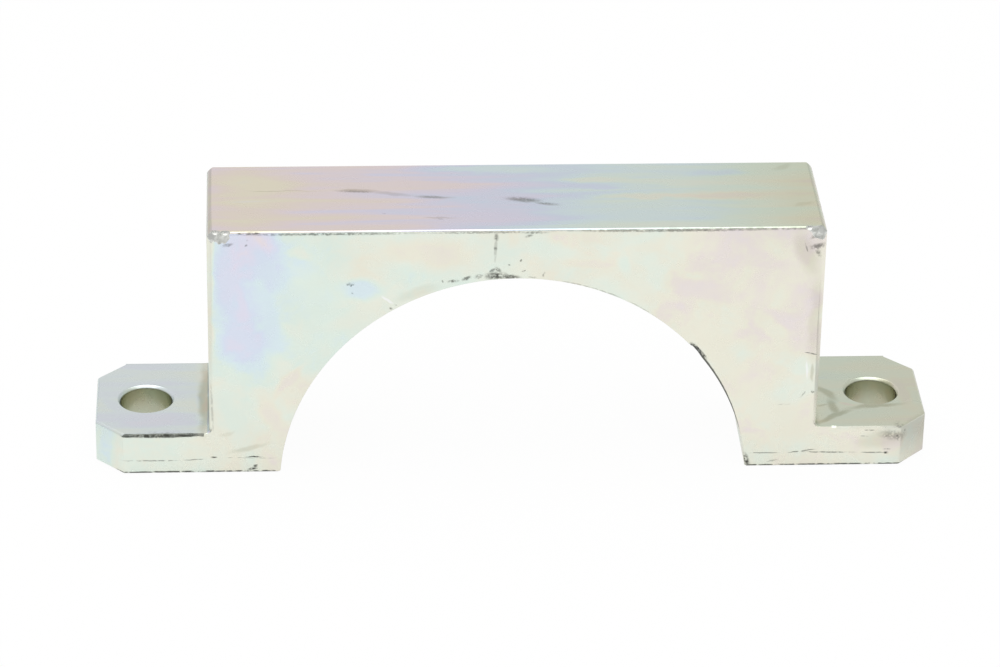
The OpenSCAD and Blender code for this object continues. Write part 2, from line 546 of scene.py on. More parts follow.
@dataclass
class Canvas:
    """A metal material that is being made, with what its patterns read."""

    material: Material
    tree: NodeTree
    shader: Node
    place: Node
    normal: NodeSocket

    @classmethod
    def new(cls, name: str) -> Canvas:
        """Start a material whose patterns read Object coordinates in millimetres.

        Args:
            name: The material's name.

        Returns:
            The new material, with a bare metal shader.
        """
        material = bpy.data.materials.new(name)
        material.use_nodes = True
        tree = material.node_tree
        shader = tree.nodes["Principled BSDF"]
        shader.inputs["Metallic"].default_value = 1.0
        coordinates = add_node(tree, "TexCoord", {})
        place = add_node(
            tree, "VectorMath", {0: coordinates.outputs["Object"], "Scale": PER_MM}, operation="SCALE"
        )
        return cls(material, tree, shader, place, coordinates.outputs["Normal"])

    def add(self, kind: str, inputs: dict[Any, Any], **settings: Any) -> Node:
        """Add a node to the material, as add_node does, and return it."""
        return add_node(self.tree, kind, inputs, **settings)

    def feed(self, socket: str, node: Node) -> None:
        """Link a node's first output to a socket of the shader."""
        self.tree.links.new(first_output(node), self.shader.inputs[socket])

    def strayed(self, size: float, reach: float) -> Node:
        """Shift the coordinates by noise, so that an outline isn't even.

        Args:
            size: How long one wave of the outline is, in millimetres.
            reach: How far it strays, in millimetres.

        Returns:
            The shifted coordinates.
        """
        noise = self.add("TexNoise", {"Vector": self.place, "Scale": 1 / size, "Detail": 2})
        middle = (0.5, 0.5, 0.5)
        swing = self.add("VectorMath", {0: noise.outputs["Color"], 1: middle}, operation="SUBTRACT")
        shift = self.add("VectorMath", {0: swing, "Scale": 2 * reach}, operation="SCALE")
        return self.add("VectorMath", {0: self.place, 1: shift}, operation="ADD")


@dataclass(frozen=True)
class ZincPlate:
    """Zinc electroplate on milled steel, clear passivated. Sizes are in millimetres.

    Zinc is a pale, slightly soft-edged mirror. The passivation film over it is thin enough to show
    interference colours, in clouds where the part hung upright and in streaks where the bath drained.
    """

    body: ClampBody
    name: str = "zinc_plate_clear_passivated"
    roughness: float = 0.27
    roughness_swing: float = 0.08
    haze: float = 12
    haze_levels: Point = (0.3, 0.7)
    grime_and_shade_dullness: float = 0.35
    grime_and_shade_metal: float = 0.3
    cloud: float = 14
    cloud_swing: float = 0.62
    # Size and reach of the waves that shift the clouds, the curves along X, the patches and the painted
    # shade on the right
    swirl: Point = (30, 10)
    wave: Point = (12, 2)
    patch_stray: Point = (8, 2.5)
    patch_full: float = 0.3
    right_end_shade_stray: Point = (20, 6)
    ear_fade: float = 4
    # How far under its face a spot still shows, on the broken edges
    spot_depth: float = 4
    # The upward part of the normal of a face that counts as upright, and as level
    level_slope: Point = (0.45, 0.65)
    streak_length: float = 50
    streak_width: float = 5.5
    streak_swing: float = 0.5
    foot_height: float = 25
    leg_height: float = 45
    mill_length: float = 40
    mill_line: float = 0.7
    mill_depth: float = 0.002
    upright_paleness: float = 0.35
    level_paleness: float = 0.32
    ear_paleness: float = 0.58
    pale: str = "E8EAE6"
    # A painted shade, a little yellow, that darkens the level faces between two places along X
    right_end_shade: str = "F4F5EB"
    right_end_shade_from: float = 48
    right_end_shade_to: float = 82
    bore_tint: str = "D6D5C9"
    bore_rim: Point = (0.1, 0.4)
    # A dark band along the saddle's front rim below the nick: partly metal scraped by the blow, partly a
    # painted dark reflection of the shadowed floor under the arch
    scrape_and_shade: str = "6A6C66"
    scrape_and_shade_low: float = math.radians(16)
    scrape_and_shade_high: float = math.radians(38)
    scrape_and_shade_narrow: float = 0.2
    scrape_and_shade_wide: float = 0.75
    # How its ends fade, how its width does, how far back it goes, and how its outline strays
    scrape_and_shade_fade: float = math.radians(2)
    scrape_and_shade_edge: Point = (0.7, 1.1)
    scrape_and_shade_back: Point = (0.9, 0.5)
    scrape_and_shade_stray: Point = (1.5, 0.12)

    def make(self) -> Material:
        """Make the material.

        Returns:
            The finished material.
        """
        canvas = Canvas.new(self.name)
        film = self._bores(canvas, self._shade_right_end(canvas, self._film(canvas)))
        grime_and_shade, colour = self._marked(canvas, film)
        canvas.feed("Base Color", self._scraped_and_shaded(canvas, colour))
        self._surface(canvas, grime_and_shade)
        return canvas.material

    def _level(self, canvas: Canvas) -> Node:
        """Tell level faces from upright ones.

        Args:
            canvas: The material.

        Returns:
            How far a face is level, from 0 on an upright face to 1 on a level one.
        """
        up = canvas.add("SeparateXYZ", {0: canvas.normal}).outputs["Z"]
        upright, level = self.level_slope
        return canvas.add("MapRange", {0: up, 1: upright, 2: level})

    def _along(
        self, canvas: Canvas, place: Node, curve: tuple[tuple[float, float], ...]
    ) -> Node:
        """Read a film's thickness off a curve along X.

        Args:
            canvas: The material.
            place: Coordinates in millimetres.
            curve: Places along X, in order, and the thickness at each.

        Returns:
            The thickness.
        """
        low, high = curve[0][0], curve[-1][0]
        along = canvas.add("SeparateXYZ", {0: place}).outputs["X"]
        share = canvas.add("MapRange", {0: along, 1: low, 2: high})
        ramp = canvas.add("ValToRGB", {0: share})
        fill_ramp(ramp, [((x - low) / (high - low), (t, t, t, 1.0)) for x, t in curve])
        return ramp

    def _film(self, canvas: Canvas) -> Node:
        """Colour the film by its thickness, which differs on upright and on level faces.

        Args:
            canvas: The material.

        Returns:
            The film's colour.
        """
        level = self._level(canvas)
        swirled = canvas.strayed(*self.swirl)
        height = canvas.add("SeparateXYZ", {0: swirled}).outputs["Z"]
        rise = canvas.add("MapRange", {0: height, 1: self.foot_height, 2: self.leg_height})
        wavy = canvas.strayed(*self.wave)
        lower = self._along(canvas, wavy, LOWER_FILM)
        upper = self._along(canvas, wavy, UPPER_FILM)
        upright = canvas.add("Mix", {0: rise, 2: lower, 3: upper})
        drained = self._along(canvas, canvas.place, LEVEL_FILM)
        thickness = canvas.add("Mix", {0: level, 2: upright, 3: drained})
        clouds = canvas.add(
            "TexNoise", {"Vector": swirled, "Scale": 1 / self.cloud, "Detail": 5, "Roughness": 0.62}
        )
        grid = (1 / self.streak_length, 1 / self.streak_width, 1 / self.streak_width)
        drawn = canvas.add("Mapping", {"Vector": canvas.place, "Scale": grid})
        streaks = canvas.add("TexNoise", {"Vector": drawn, "Scale": 1.0, "Detail": 3, "Distortion": 0.4})
        pattern = canvas.add("Mix", {0: level, 2: clouds, 3: streaks})
        centred = canvas.add("Math", {0: pattern, 1: 0.5}, operation="SUBTRACT")
        swing = canvas.add("MapRange", {0: level, 3: self.cloud_swing, 4: self.streak_swing})
        thickness = canvas.add("Math", {0: centred, 1: swing, 2: thickness}, operation="MULTIPLY_ADD")
        cloudy = canvas.strayed(*self.patch_stray)
        for face, patches in FILM_PATCHES.items():
            for patch in patches:
                cover = self._cover(canvas, cloudy, face, patch, self.patch_full)
                thickness = canvas.add("Mix", {0: cover, 2: thickness, 3: patch.thickness})
        colour = canvas.add("ValToRGB", {0: thickness})
        fill_ramp(colour, [(t, linear(shade)) for t, shade in FILM_COLOURS])
        block = self.body.block_half * PER_MM
        folded = canvas.add("VectorMath", {0: canvas.place}, operation="ABSOLUTE")
        aside = canvas.add("SeparateXYZ", {0: folded}).outputs["X"]
        beyond = block + self.ear_fade
        flat = canvas.add(
            "MapRange", {0: aside, 1: block, 2: beyond, 3: self.level_paleness, 4: self.ear_paleness}
        )
        paleness = canvas.add("Mix", {0: level, 2: self.upright_paleness, 3: flat})
        return canvas.add("Mix", {0: paleness, 6: colour, 7: linear(self.pale)}, data_type="RGBA")

    def _shade_right_end(self, canvas: Canvas, film: Node) -> Node:
        """Darken the level faces towards the right with a painted shade that is a little yellow.

        Args:
            canvas: The material.
            film: The film's colour.

        Returns:
            The film's colour, with the painted shade there.
        """
        # Painted shade: the level faces grow darker towards the right end
        along = canvas.add("SeparateXYZ", {0: canvas.strayed(*self.right_end_shade_stray)}).outputs["X"]
        right = canvas.add("MapRange", {0: along, 1: self.right_end_shade_from, 2: self.right_end_shade_to})
        amount = canvas.add("Math", {0: right, 1: self._level(canvas)}, operation="MULTIPLY")
        return canvas.add(
            "Mix", {0: amount, 6: film, 7: linear(self.right_end_shade)}, data_type="RGBA", blend_type="MULTIPLY"
        )

    def _bores(self, canvas: Canvas, film: Node) -> Node:
        """Tint the inside of the bolt holes, where the bath stood longest.

        Args:
            canvas: The material.
            film: The film's colour elsewhere.

        Returns:
            The film's colour with the holes tinted.
        """
        folded = canvas.add("VectorMath", {0: canvas.place}, operation="ABSOLUTE")
        axis = (self.body.bolt_x * PER_MM, 0, 0)
        centred = canvas.add("VectorMath", {0: folded, 1: axis}, operation="SUBTRACT")
        flat = canvas.add("VectorMath", {0: centred, 1: (1, 1, 0)}, operation="MULTIPLY")
        away = canvas.add("VectorMath", {0: flat}, operation="LENGTH")
        rim = self.body.bolt_radius * PER_MM
        near, off = self.bore_rim
        inside = canvas.add("MapRange", {0: away, 1: rim + near, 2: rim + off, 3: 1.0, 4: 0.0})
        return canvas.add(
            "Mix", {0: inside, 6: film, 7: linear(self.bore_tint)}, data_type="RGBA", blend_type="MULTIPLY"
        )

    def _marked(self, canvas: Canvas, film: Node) -> tuple[Node, Node]:
        """Lay the marks over the film.

        Args:
            canvas: The material.
            film: The film's colour.

        Returns:
            How much dirt and painted shade cover the metal, and the colour with all marks on it.
        """
        colour = film
        for kind, faces in MARKS.items():
            look = MARK_LOOKS[kind]
            place = canvas.strayed(*look.stray)
            amount = 0.0
            # Each cover is merged as it is made, since the renderer can hold only some at a time
            for face, spots in faces.items():
                for spot in spots:
                    cover = self._cover(canvas, place, face, spot, look.full)
                    amount = canvas.add("Math", {0: amount, 1: cover}, operation="MAXIMUM")
            if look.grain:
                grains = self._grains(canvas, look)
                amount = canvas.add("Math", {0: amount, 1: grains}, operation="MULTIPLY")
            paint = {0: amount, 6: colour, 7: linear(look.colour)}
            colour = canvas.add("Mix", paint, data_type="RGBA", blend_type=look.lay.value)
        return amount, colour

    def _grains(self, canvas: Canvas, look: MarkLook) -> Node:
        """Break a kind of mark into grains or dashes.

        Args:
            canvas: The material.
            look: How that kind of mark lies on the metal.

        Returns:
            How much of the mark is left, from 0 to 1.
        """
        noise = {"Vector": canvas.place, "Scale": 1 / look.grain, "Detail": look.grain_detail}
        low, high = look.grain_levels
        return canvas.add("MapRange", {0: canvas.add("TexNoise", noise), 1: low, 2: high})

    def _cover(self, canvas: Canvas, place: Node, face: Face, spot: Spot, full: float) -> Node:
        """Cover a long oval from the start to the end of a spot.

        Args:
            canvas: The material.
            place: Coordinates in millimetres, shifted for this kind of spot.
            face: The face that the spot is on.
            spot: The spot.
            full: Share of the oval that is covered fully, from its middle out.

        Returns:
            How much the spot covers, from 0 to its strength.
        """
        run = Vector(spot.end) - Vector(spot.start)
        across, up = (Vector(spot.start) + Vector(spot.end)) / 2
        half = (run.length + spot.width) / 2
        turn = math.atan2(run.y, run.x)
        level = self.body.level(face) * PER_MM
        if face is Face.FRONT:
            centre = (across, level, up)
            rotation = (0, -turn, 0)
            scale = (half, self.spot_depth, spot.width / 2)
        else:
            centre = (across, up, level)
            rotation = (0, 0, turn)
            scale = (half, spot.width / 2, self.spot_depth)
        oval = canvas.add(
            "Mapping",
            {"Vector": place, "Location": centre, "Rotation": rotation, "Scale": scale},
            vector_type="TEXTURE",
        )
        inward = canvas.add("TexGradient", {"Vector": oval}, gradient_type="SPHERICAL").outputs["Fac"]
        return canvas.add(
            "MapRange",
            {0: inward, 1: 0.0, 2: 1 - full, 3: 0.0, 4: spot.strength},
            interpolation_type="SMOOTHSTEP",
        )

    def _scraped_and_shaded(self, canvas: Canvas, colour: Node) -> Node:
        """Darken the front rim of the saddle below the nick: partly metal scraped by the blow, partly a
        painted dark reflection of the shadowed floor under the arch.

        Args:
            canvas: The material.
            colour: The colour elsewhere.

        Returns:
            The colour with the dark band on the rim.
        """
        body = self.body
        axis = (0, 0, body.saddle_z * PER_MM)
        place = canvas.strayed(*self.scrape_and_shade_stray)
        spoke = canvas.add("VectorMath", {0: place, 1: axis}, operation="SUBTRACT")
        axes = canvas.add("SeparateXYZ", {0: spoke})
        angle = canvas.add("Math", {0: axes.outputs["Z"], 1: axes.outputs["X"]}, operation="ARCTAN2")
        flat = canvas.add("VectorMath", {0: spoke, 1: (1, 0, 1)}, operation="MULTIPLY")
        radius = canvas.add("VectorMath", {0: flat}, operation="LENGTH")
        over = canvas.add("Math", {0: radius, 1: body.saddle_radius * PER_MM}, operation="SUBTRACT")
        width = canvas.add(
            "MapRange",
            {0: angle, 1: self.scrape_and_shade_low, 2: self.scrape_and_shade_high, 3: self.scrape_and_shade_narrow, 4: self.scrape_and_shade_wide},
        )
        share = canvas.add("Math", {0: over, 1: width}, operation="DIVIDE")
        inner, outer = self.scrape_and_shade_edge
        near = canvas.add("MapRange", {0: share, 1: inner, 2: outer, 3: 1.0, 4: 0.0})
        ends = self.scrape_and_shade_fade
        low = canvas.add("MapRange", {0: angle, 1: self.scrape_and_shade_low - ends, 2: self.scrape_and_shade_low + ends})
        high = canvas.add("MapRange", {0: angle, 1: self.scrape_and_shade_high + ends, 2: self.scrape_and_shade_high})
        face = body.level(Face.FRONT) * PER_MM
        gone, whole = self.scrape_and_shade_back
        front = canvas.add("MapRange", {0: axes.outputs["Y"], 1: face + gone, 2: face + whole})
        amount = near
        for limit in (low, high, front):
            amount = canvas.add("Math", {0: amount, 1: limit}, operation="MULTIPLY")
        # Lays the dark rim band: scraped metal and a painted dark reflection
        return canvas.add("Mix", {0: amount, 6: colour, 7: linear(self.scrape_and_shade)}, data_type="RGBA")

    def _surface(self, canvas: Canvas, grime_and_shade: Node) -> None:
        """Set how rough the surface is, and draw the fine lines that the cutter left.

        Args:
            canvas: The material.
            grime_and_shade: How much dirt and painted shade cover the metal.
        """
        haze = canvas.add("TexNoise", {"Vector": canvas.place, "Scale": 1 / self.haze, "Detail": 4})
        low, high = self.haze_levels
        half = self.roughness_swing / 2
        dull = canvas.add(
            "MapRange", {0: haze, 1: low, 2: high, 3: self.roughness - half, 4: self.roughness + half}
        )
        grime_and_shade_dulling = {0: grime_and_shade, 1: self.grime_and_shade_dullness, 2: dull}
        canvas.feed("Roughness", canvas.add("Math", grime_and_shade_dulling, operation="MULTIPLY_ADD"))
        canvas.feed("Metallic", canvas.add("MapRange", {0: grime_and_shade, 3: 1.0, 4: self.grime_and_shade_metal}))
        # Real mill lines are about 0.2 mm apart, which is too fine to show, so they are drawn coarser
        grid = (1 / self.mill_length, 1 / self.mill_line, 1 / self.mill_line)
        lines = canvas.add("Mapping", {"Vector": canvas.place, "Scale": grid})
        mill = canvas.add("TexNoise", {"Vector": lines, "Scale": 1.0, "Detail": 2})
        bump = {"Height": mill, "Strength": 1.0, "Distance": self.mill_depth * MM}
        canvas.feed("Normal", canvas.add("Bump", bump))


@dataclass(frozen=True)
class BruisedZinc:
    """Zinc plate that a blow has crushed: lumpy, scuffed and bright on its high spots. In millimetres."""

    name: str = "zinc_plate_bruised"
    bright: str = "F6F8F4"
    dark: str = "D8DAD5"
    roughness: Point = (0.46, 0.66)
    lump: float = 1.3
    lump_depth: float = 0.05
    lump_strength: float = 0.7
    scuffed: Point = (0.44, 0.64)

    def make(self) -> Material:
        """Make the material.

        Returns:
            The finished material.
        """
        canvas = Canvas.new(self.name)
        lumps = canvas.add("TexNoise", {"Vector": canvas.place, "Scale": 1 / self.lump, "Detail": 3})
        whole, scuffed = self.scuffed
        worn = canvas.add("MapRange", {0: lumps, 1: whole, 2: scuffed})
        colour = {0: worn, 6: linear(self.bright), 7: linear(self.dark)}
        canvas.feed("Base Color", canvas.add("Mix", colour, data_type="RGBA"))
        smooth, rough = self.roughness
        canvas.feed("Roughness", canvas.add("MapRange", {0: worn, 3: smooth, 4: rough}))
        bump = {"Height": lumps, "Strength": self.lump_strength, "Distance": self.lump_depth * MM}
        canvas.feed("Normal", canvas.add("Bump", bump))
        return canvas.material


@dataclass(frozen=True)
class EdgeBreaks:
    """How wide each kind of edge is broken, in metres."""

    top: float = 0.42 * MM
    back_top: float = 1.2 * MM
    end: float = 1.6 * MM
    front_upright: float = 1.3 * MM
    back_upright: float = 2.3 * MM
    ear: float = 0.7 * MM
    ear_side: float = 0.1 * MM
    corner: float = 0.2 * MM
    foot: float = 0.6 * MM
    rim: float = 0.2 * MM
    mouth: float = 0.8 * MM
    bolt: float = 1.0 * MM

    def widest(self) -> float:
        """Return the widest break."""
        return max(vars(self).values())


@dataclass(frozen=True)
class Knock:
    """A facet knocked off a front top corner of the block, with its leg along each edge, in metres."""

    side: int
    along: float
    back: float
    down: float
    seed: int


@dataclass(frozen=True)
class FiledEdge:
    """A flat along the front top edge of an ear: its ends, its height and how it leans back."""

    start: float
    end: float
    drop: float
    lean: float


@dataclass(frozen=True)
class Dent:
    """A small round dent in the front, in metres.

    Its place is on the front before any edge was broken, its depth is measured from there, and rise
    is how far up the blow came from.
    """

    x: float
    z: float
    radius: float
    depth: float
    rise: float
    bruised: bool = False


KNOCKS = (
    Knock(-1, 6.4 * MM, 1.3 * MM, 4.2 * MM, seed=3),
    Knock(1, 6.6 * MM, 1.4 * MM, 5.4 * MM, seed=8),
)

FILED_EDGES = (
    FiledEdge(-121 * MM, -88.1 * MM, 1.2 * MM, math.radians(22)),
    FiledEdge(88.1 * MM, 121 * MM, 1.2 * MM, math.radians(8)),
    FiledEdge(91.1 * MM, 92.4 * MM, 0.5 * MM, math.radians(50)),
)

# How far up a blow came from, on an edge and on the front
EDGE = math.radians(45)
LOW = math.radians(15)

DENTS = (
    Dent(-46.6 * MM, 61.4 * MM, 3.2 * MM, 0.3 * MM, 0.0),
    Dent(-84.4 * MM, 77.4 * MM, 2.4 * MM, 1.0 * MM, EDGE, bruised=True),
    Dent(-81.4 * MM, 77.3 * MM, 1.8 * MM, 0.8 * MM, EDGE, bruised=True),
    Dent(-82.6 * MM, 75 * MM, 6 * MM, 0.35 * MM, LOW, bruised=True),
    Dent(81.6 * MM, 77.3 * MM, 1.6 * MM, 0.6 * MM, EDGE, bruised=True),
    Dent(84.4 * MM, 77 * MM, 1.8 * MM, 0.6 * MM, EDGE, bruised=True),
    Dent(84.4 * MM, 74.6 * MM, 4.5 * MM, 0.3 * MM, LOW, bruised=True),
)


@dataclass
class ClampBody:
    """The clamp's one solid piece. Sizes are in metres."""

    length: float
    depth: float
    height: float
    saddle_radius: float
    saddle_z: float
    bolt_radius: float
    bolt_x: float
    leg: float = 20 * MM
    ear_thickness: float = 13 * MM
    ear_corner: float = 7.8 * MM
    root_radius: float = 1.5 * MM
    nick_depth: float = 0.9 * MM
    nick_radius: float = 6 * MM
    nick_angle: float = math.radians(40)
    # How far the points of each cutter stray: shares of its length and its radius, and two lengths
    file_stray: float = 0.003
    dent_stray: float = 0.02
    knock_stray: float = 0.12 * MM
    nick_stray: float = 0.25 * MM
    breaks: EdgeBreaks = EdgeBreaks()

    @classmethod
    def from_frame(cls) -> ClampBody:
        """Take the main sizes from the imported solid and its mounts.

        Returns:
            The clamp, which isn't modelled yet.
        """
        low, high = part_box("clamp_body")
        # Rounded to a hundredth of a millimetre, so that the same solid always gives the same piece
        length, depth, height = (round(size, 5) for size in high - low)
        mounts = {mount["name"]: mount for mount in frame["record"]["mounts"]}
        saddle = mounts["saddle"]
        bolts = mounts["bolt_holes"]
        return cls(
            length=length,
            depth=depth,
            height=height,
            saddle_radius=saddle["dims"]["r_mm"] * MM,
            saddle_z=saddle["pos_m"][2],
            bolt_radius=bolts["dims"]["hole_r_mm"] * MM,
            bolt_x=bolts["dims"]["spacing_x_mm"] / 2 * MM,
        )

    @property
    def mouth_half(self) -> float:
        """Half the width of the saddle's mouth, at the feet."""
        return math.sqrt(self.saddle_radius**2 - self.saddle_z**2)

    @property
    def block_half(self) -> float:
        """Half the width of the upright block."""
        return self.mouth_half + self.leg

    def level(self, face: Face) -> float:
        """Return where a face lies on the axis across it."""
        return {Face.FRONT: -self.depth / 2, Face.TOP: self.height, Face.EAR: self.ear_thickness}[face]

    def build(
        self, plate: Material, bruised: Material, scraped: Material
    ) -> Object:
        """Model the clamp and dress it.

        Args:
            plate: The finish on the faces and their edges.
            bruised: The finish on the knocked corners.
            scraped: The finish in the nick.

        Returns:
            The finished piece.
        """
        piece = self._mill_blank()
        piece.data.materials.append(plate)
        self._bore(piece)
        self._break_edges(piece)
        self._file_ears(piece, plate)
        self._knock(piece, bruised)
        self._dent(piece, plate, bruised)
        self._nick(piece, scraped)
        self._smooth(piece)
        return piece

    def _mill_blank(self) -> Object:
        """Shape a plate with cut corners, raise the block from it and round the roots of its ears.

        Returns:
            The blank, with sharp edges and no holes.
        """
        bpy.ops.object.select_all(action="DESELECT")
        bpy.ops.mesh.primitive_cube_add(
            size=1,
            location=(0, 0, self.ear_thickness / 2),
            scale=(self.length, self.depth, self.ear_thickness),
        )
        piece = bpy.context.object
        piece.name = "clamp"
        bpy.ops.object.transform_apply(location=True, rotation=True, scale=True)
        with edit_mode(piece):
            select(piece, Element.EDGE, lambda edge: abs(edge.verts[0].co.z - edge.verts[1].co.z) > NEAR)
            bpy.ops.mesh.bevel(offset=self.ear_corner, segments=1, affect="EDGES", clamp_overlap=False)
            for side in (-1, 1):
                bpy.ops.mesh.select_all(action="SELECT")
                bpy.ops.mesh.bisect(plane_co=(side * self.block_half, 0, 0), plane_no=(1, 0, 0))
            select(
                piece,
                Element.FACE,
                lambda face: face.normal.z > 0.9 and abs(face.calc_center_median().x) < self.leg,
            )
            rise = self.height - self.ear_thickness
            bpy.ops.mesh.extrude_region_move(TRANSFORM_OT_translate={"value": (0, 0, rise)})
            self._join_level_faces()
            select(piece, Element.EDGE, self._is_root)
            bpy.ops.mesh.bevel(offset=self.root_radius, segments=6, affect="EDGES", clamp_overlap=False)
        return piece

    def _is_root(self, edge: bmesh.types.BMEdge) -> bool:
        """Say whether an edge runs along the corner between an ear and the block."""
        return all(
            abs(abs(vertex.co.x) - self.block_half) < NEAR
            and abs(vertex.co.z - self.ear_thickness) < NEAR
            for vertex in edge.verts
        )

    def _join_level_faces(self) -> None:
        """Merge doubles in the open mesh, and make one face of those that lie in one plane."""
        bpy.ops.mesh.select_all(action="SELECT")
        bpy.ops.mesh.remove_doubles(threshold=0.001 * MM)
        bpy.ops.mesh.dissolve_limited(angle_limit=math.radians(0.3))

    def _bore(self, piece: Object) -> None:
        """Cut the saddle and the two bolt holes.

        Args:
            piece: The blank.
        """
        bpy.ops.mesh.primitive_cylinder_add(
            vertices=240,
            radius=self.saddle_radius,
            depth=2 * self.depth,
            location=(0, 0, self.saddle_z),
            rotation=(math.pi / 2, 0, 0),
        )
        cut_away(piece, bpy.context.object)
        for side in (-1, 1):
            bpy.ops.mesh.primitive_cylinder_add(
                vertices=80,
                radius=self.bolt_radius,
                depth=4 * self.ear_thickness,
                location=(side * self.bolt_x, 0, 0),
            )
            cut_away(piece, bpy.context.object)
        with edit_mode(piece):
            self._join_level_faces()

    def _break_width(self, edge: bmesh.types.BMEdge) -> float:
        """Say how wide one edge is broken.

        Args:
            edge: An edge of the bored blank.

        Returns:
            The width of its break, which is 0 on an edge that stays.
        """
        if edge.calc_face_angle(0.0) < math.radians(30):
            return 0.0
        start, end = (vertex.co for vertex in edge.verts)
        middle = (start + end) / 2
        run = end - start
        breaks = self.breaks
        in_side = abs(abs(middle.y) - self.depth / 2) < NEAR
        from_bolt = math.hypot(abs(middle.x) - self.bolt_x, middle.y)
        from_saddle = math.hypot(middle.x, middle.z - self.saddle_z)
        if from_bolt < self.bolt_radius + NEAR:
            return breaks.bolt
        if in_side and abs(from_saddle - self.saddle_radius) < NEAR:
            return breaks.rim
        if abs(middle.z) < NEAR:
            return breaks.mouth if abs(abs(middle.x) - self.mouth_half) < NEAR else breaks.foot
        if abs(middle.z - self.height) < NEAR:
            if abs(run.x) < abs(run.y):
                return breaks.end
            return breaks.top if middle.y < 0 else breaks.back_top
        if abs(middle.z - self.ear_thickness) < NEAR:
            return breaks.ear_side if in_side else breaks.ear
        if in_side and abs(abs(middle.x) - self.block_half) < self.root_radius + NEAR:
            upright = breaks.front_upright if middle.y < 0 else breaks.back_upright
            up = min(1.0, (middle.z - self.ear_thickness) / self.root_radius)
            return breaks.ear_side + up * (upright - breaks.ear_side)
        return breaks.corner

    def _break_edges(self, piece: Object) -> None:
        """Break every edge by its own width, as a chamfer that is a little curved.

        Args:
            piece: The bored blank.
        """
        widest = self.breaks.widest()
        with edit_mode(piece):
            mesh = bmesh.from_edit_mesh(piece.data)
            weight = mesh.edges.layers.float.new("bevel_weight_edge")
            for edge in mesh.edges:
                edge[weight] = self._break_width(edge) / widest
            bmesh.update_edit_mesh(piece.data)
        apply_modifier(
            piece,
            "BEVEL",
            limit_method="WEIGHT",
            width=widest,
            segments=4,
            profile=0.3,
            use_clamp_overlap=False,
        )

    def _file_ears(self, piece: Object, metal: Material) -> None:
        """File a flat along the front top edge of each ear, and chip the right one.

        Args:
            piece: The clamp with broken edges.
            metal: The finish that the cut leaves.
        """
        for filed in FILED_EDGES:
            middle = (filed.start + filed.end) / 2
            long = filed.end - filed.start
            foot = Vector((middle, -self.depth / 2, self.ear_thickness - filed.drop))
            outward = Vector((0, -math.cos(filed.lean), math.sin(filed.lean)))
            bpy.ops.mesh.primitive_cube_add(
                size=1,
                location=foot + outward * self.leg / 2,
                rotation=(-filed.lean, 0, 0),
                scale=(long, self.leg, self.leg),
            )
            bpy.ops.object.transform_apply(location=False, rotation=False, scale=True)
            uneven = self.file_stray * long
            cut_away(piece, self._roughen(bpy.context.object, cuts=24, offset=uneven, seed=2, metal=metal))

    def _knock(self, piece: Object, metal: Material) -> None:
        """Knock in the two front top corners of the block.

        Args:
            piece: The clamp with broken edges.
            metal: The finish on the knocks.
        """
        for knock in KNOCKS:
            corner = Vector((knock.side * self.block_half, -self.depth / 2, self.height))
            slope = Vector((knock.side / knock.along, -1 / knock.back, 1 / knock.down))
            outward = slope.normalized()
            size = 3 * knock.along
            bpy.ops.mesh.primitive_cube_add(size=size)
            cutter = self._roughen(
                bpy.context.object, cuts=14, offset=self.knock_stray, seed=knock.seed, metal=metal
            )
            centre = corner + outward * (size / 2 - 1 / slope.length)
            turn = outward.to_track_quat("Z", "Y").to_matrix().to_4x4()
            cutter.matrix_world = Matrix.Translation(centre) @ turn
            cut_away(piece, cutter)

    def _dent(
        self, piece: Object, plate: Material, bruised: Material
    ) -> None:
        """Dent the front and its edges where other parts have struck it.

        Args:
            piece: The clamp with broken edges.
            plate: The finish in dents that the plate came out of whole.
            bruised: The finish in those that crushed it.
        """
        for number, dent in enumerate(DENTS):
            struck = Vector((dent.x, -self.depth / 2, dent.z))
            outward = Vector((0, -math.cos(dent.rise), math.sin(dent.rise)))
            bpy.ops.mesh.primitive_ico_sphere_add(
                subdivisions=4, radius=dent.radius, location=struck + outward * (dent.radius - dent.depth)
            )
            metal = bruised if dent.bruised else plate
            offset = self.dent_stray * dent.radius
            cutter = self._roughen(bpy.context.object, cuts=0, offset=offset, seed=number, metal=metal)
            cut_away(piece, cutter)

    def _nick(self, piece: Object, metal: Material) -> None:
        """Nick the front rim of the saddle.

        Args:
            piece: The clamp with broken edges.
            metal: The finish in the nick.
        """
        off_rim = (self.nick_radius - self.nick_depth) / math.sqrt(2)
        from_axis = self.saddle_radius - off_rim
        bpy.ops.mesh.primitive_ico_sphere_add(
            subdivisions=4,
            radius=self.nick_radius,
            location=(
                from_axis * math.cos(self.nick_angle),
                -self.depth / 2 - off_rim,
                self.saddle_z + from_axis * math.sin(self.nick_angle),
            ),
        )
        cutter = self._roughen(bpy.context.object, cuts=0, offset=self.nick_stray, seed=5, metal=metal)
        cut_away(piece, cutter)

    def _roughen(
        self, cutter: Object, cuts: int, offset: float, seed: int, metal: Material
    ) -> Object:
        """Make a cutter's faces uneven, as a blow or a file leaves them.

        Args:
            cutter: The shape to roughen.
            cuts: How many times its edges are divided first.
            offset: How far its points stray.
            seed: Which random draw is used.
            metal: The finish that the cut leaves.

        Returns:
            The same shape, roughened.
        """
        cutter.data.materials.append(metal)
        with edit_mode(cutter):
            bpy.ops.mesh.select_all(action="SELECT")
            if cuts:
                bpy.ops.mesh.subdivide(number_cuts=cuts)
            bpy.ops.transform.vertex_random(offset=offset, uniform=1.0, normal=0.0, seed=seed)
        return cutter

    def _smooth(self, piece: Object) -> None:
        """Shade the broken edges smooth, with the flat faces flat.

        Args:
            piece: The finished shape.
        """
        activate(piece)
        bpy.ops.object.shade_smooth_by_angle(angle=math.radians(40))
        apply_modifier(piece, "WEIGHTED_NORMAL", keep_sharp=True, weight=100)


